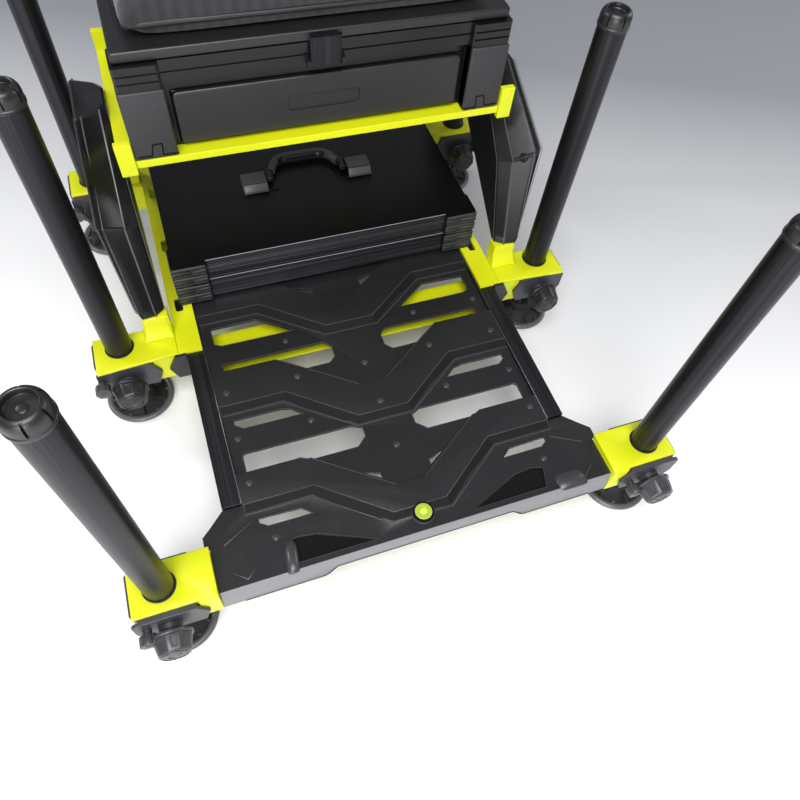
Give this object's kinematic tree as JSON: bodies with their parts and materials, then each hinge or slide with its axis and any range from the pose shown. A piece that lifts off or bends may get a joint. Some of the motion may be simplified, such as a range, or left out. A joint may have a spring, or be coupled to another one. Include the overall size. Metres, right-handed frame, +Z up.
{
  "type": "fishing seat box",
  "caption": "Padded seat box for bank fishing on adjustable clamped legs, with a sliding slotted footplate, a front drawer and a lift-out carry case on side rails.",
  "frame": {"origin": "on the floor under the centre of the whole object's box, 8.5 mm in front of the middle legs' axis", "axes": "+Z up, -Y towards the footplate and the water, +X to the right seen from the front"},
  "size_m": [0.7514, 0.839, 0.5452],
  "materials": {
    "lime_paint": "bright lime powder coat, satin",
    "black_moulding": "satin black glass-filled moulding",
    "black_anodised": "black anodised tube, lightly brushed",
    "foot_rubber": "matt black rubber",
    "case_black": "smooth black panel with edge profiles",
    "seat_fabric": "black woven seat cover",
    "vial": "pale green clear vial"
  },
  "bodies": {
    "chassis": {"side_rail_right": "lime_paint", "side_rail_left": "lime_paint", "rail_cap_right": "black_moulding", "rail_cap_left": "black_moulding", "side_arch_right": "black_moulding", "side_arch_left": "black_moulding", "mid_crossbar": "lime_paint", "rear_crossbar": "lime_paint", "upper_frame": "lime_paint", "drawer_unit": "case_black", "seat_tray": "case_black", "mid_block_right": "lime_paint", "mid_leg_clamp_right": "black_moulding", "mid_block_left": "lime_paint", "mid_leg_clamp_left": "black_moulding", "rear_block_right": "lime_paint", "rear_leg_clamp_right": "black_moulding", "rear_block_left": "lime_paint", "rear_leg_clamp_left": "black_moulding"},
    "footplate": {"footplate": "black_moulding", "runner_right": "black_anodised", "runner_left": "black_anodised", "front_crossbar": "lime_paint", "spirit_level": "vial", "front_block_right": "lime_paint", "front_leg_clamp_right": "black_moulding", "front_block_left": "lime_paint", "front_leg_clamp_left": "black_moulding"},
    "case": {"case_base": "case_black"},
    "case_lid": {"case_lid": "case_black"},
    "case_handle": {"case_handle": "black_moulding"},
    "drawer": {"drawer": "black_moulding"},
    "seat": {"seat_lid": "black_moulding", "seat_cushion": "seat_fabric"},
    "seat_latch": {"seat_latch": "black_anodised"},
    "front_leg_right": {"front_leg_right": "black_anodised", "front_leg_cap_right": "black_moulding"},
    "front_foot_right": {"front_foot_right": "foot_rubber"},
    "front_knob_right": {"front_clamp_knob_right": "black_moulding"},
    "front_leg_left": {"front_leg_left": "black_anodised", "front_leg_cap_left": "black_moulding"},
    "front_foot_left": {"front_foot_left": "foot_rubber"},
    "front_knob_left": {"front_clamp_knob_left": "black_moulding"},
    "mid_leg_right": {"mid_leg_right": "black_anodised", "mid_leg_cap_right": "black_moulding"},
    "mid_foot_right": {"mid_foot_right": "foot_rubber"},
    "mid_knob_right": {"mid_clamp_knob_right": "black_moulding"},
    "mid_leg_left": {"mid_leg_left": "black_anodised", "mid_leg_cap_left": "black_moulding"},
    "mid_foot_left": {"mid_foot_left": "foot_rubber"},
    "mid_knob_left": {"mid_clamp_knob_left": "black_moulding"},
    "rear_leg_right": {"rear_leg_right": "black_anodised", "rear_leg_cap_right": "black_moulding"},
    "rear_foot_right": {"rear_foot_right": "foot_rubber"},
    "rear_knob_right": {"rear_clamp_knob_right": "black_moulding"},
    "rear_leg_left": {"rear_leg_left": "black_anodised", "rear_leg_cap_left": "black_moulding"},
    "rear_foot_left": {"rear_foot_left": "foot_rubber"},
    "rear_knob_left": {"rear_clamp_knob_left": "black_moulding"}
  },
  "joints": [
    {"name": "footplate_slide", "type": "slide", "parent": "chassis", "child": "footplate", "axis": [0, 1, 0], "range_m": [0, 0.22]},
    {"name": "case_slide", "type": "slide", "parent": "chassis", "child": "case", "axis": [0, -1, 0], "range_m": [0, 0.26]},
    {"name": "case_lid_hinge", "type": "hinge", "parent": "case", "child": "case_lid", "pos_m": [0, 0.3649, 0.16315], "axis": [-1, 0, 0], "range_deg": [0, 30]},
    {"name": "case_handle_hinge", "type": "hinge", "parent": "case_lid", "child": "case_handle", "pos_m": [0, 0.2025, 0.2104], "axis": [1, 0, 0], "range_deg": [0, 178]},
    {"name": "drawer_slide", "type": "slide", "parent": "chassis", "child": "drawer", "axis": [0, -1, 0], "range_m": [0, 0.18]},
    {"name": "seat_hinge", "type": "hinge", "parent": "chassis", "child": "seat", "pos_m": [0, 0.313, 0.48875], "axis": [-1, 0, 0], "range_deg": [0, 85]},
    {"name": "seat_latch_hinge", "type": "hinge", "parent": "chassis", "child": "seat_latch", "pos_m": [0, 0.0722, 0.4676], "axis": [1, 0, 0], "range_deg": [0, 60]},
    {"name": "front_leg_slide_right", "type": "slide", "parent": "footplate", "child": "front_leg_right", "axis": [0, 0, 1], "range_m": [-0.3, 0.04]},
    {"name": "front_foot_tilt_right", "type": "hinge", "parent": "front_leg_right", "child": "front_foot_right", "pos_m": [0.3265, -0.3475, 0.02], "axis": [1, 0, 0], "range_deg": [-14, 14]},
    {"name": "front_knob_turn_right", "type": "hinge", "parent": "footplate", "child": "front_knob_right", "pos_m": [0.3265, -0.4075, 0.091], "axis": [0, -1, 0], "range_deg": [0, 720]},
    {"name": "front_leg_slide_left", "type": "slide", "parent": "footplate", "child": "front_leg_left", "axis": [0, 0, 1], "range_m": [-0.3, 0.04]},
    {"name": "front_foot_tilt_left", "type": "hinge", "parent": "front_leg_left", "child": "front_foot_left", "pos_m": [-0.3265, -0.3475, 0.02], "axis": [1, 0, 0], "range_deg": [-14, 14]},
    {"name": "front_knob_turn_left", "type": "hinge", "parent": "footplate", "child": "front_knob_left", "pos_m": [-0.3265, -0.4075, 0.091], "axis": [0, -1, 0], "range_deg": [0, 720]},
    {"name": "mid_leg_slide_right", "type": "slide", "parent": "chassis", "child": "mid_leg_right", "axis": [0, 0, 1], "range_m": [-0.3, 0.04]},
    {"name": "mid_foot_tilt_right", "type": "hinge", "parent": "mid_leg_right", "child": "mid_foot_right", "pos_m": [0.3265, 0.0085, 0.02], "axis": [1, 0, 0], "range_deg": [-14, 14]},
    {"name": "mid_knob_turn_right", "type": "hinge", "parent": "chassis", "child": "mid_knob_right", "pos_m": [0.3265, -0.0515, 0.091], "axis": [0, -1, 0], "range_deg": [0, 720]},
    {"name": "mid_leg_slide_left", "type": "slide", "parent": "chassis", "child": "mid_leg_left", "axis": [0, 0, 1], "range_m": [-0.3, 0.04]},
    {"name": "mid_foot_tilt_left", "type": "hinge", "parent": "mid_leg_left", "child": "mid_foot_left", "pos_m": [-0.3265, 0.0085, 0.02], "axis": [1, 0, 0], "range_deg": [-14, 14]},
    {"name": "mid_knob_turn_left", "type": "hinge", "parent": "chassis", "child": "mid_knob_left", "pos_m": [-0.3265, -0.0515, 0.091], "axis": [0, -1, 0], "range_deg": [0, 720]},
    {"name": "rear_leg_slide_right", "type": "slide", "parent": "chassis", "child": "rear_leg_right", "axis": [0, 0, 1], "range_m": [-0.3, 0.04]},
    {"name": "rear_foot_tilt_right", "type": "hinge", "parent": "rear_leg_right", "child": "rear_foot_right", "pos_m": [0.3265, 0.3695, 0.02], "axis": [1, 0, 0], "range_deg": [-14, 14]},
    {"name": "rear_knob_turn_right", "type": "hinge", "parent": "chassis", "child": "rear_knob_right", "pos_m": [0.3265, 0.3095, 0.091], "axis": [0, -1, 0], "range_deg": [0, 720]},
    {"name": "rear_leg_slide_left", "type": "slide", "parent": "chassis", "child": "rear_leg_left", "axis": [0, 0, 1], "range_m": [-0.3, 0.04]},
    {"name": "rear_foot_tilt_left", "type": "hinge", "parent": "rear_leg_left", "child": "rear_foot_left", "pos_m": [-0.3265, 0.3695, 0.02], "axis": [1, 0, 0], "range_deg": [-14, 14]},
    {"name": "rear_knob_turn_left", "type": "hinge", "parent": "chassis", "child": "rear_knob_left", "pos_m": [-0.3265, 0.3095, 0.091], "axis": [0, -1, 0], "range_deg": [0, 720]}
  ]
}
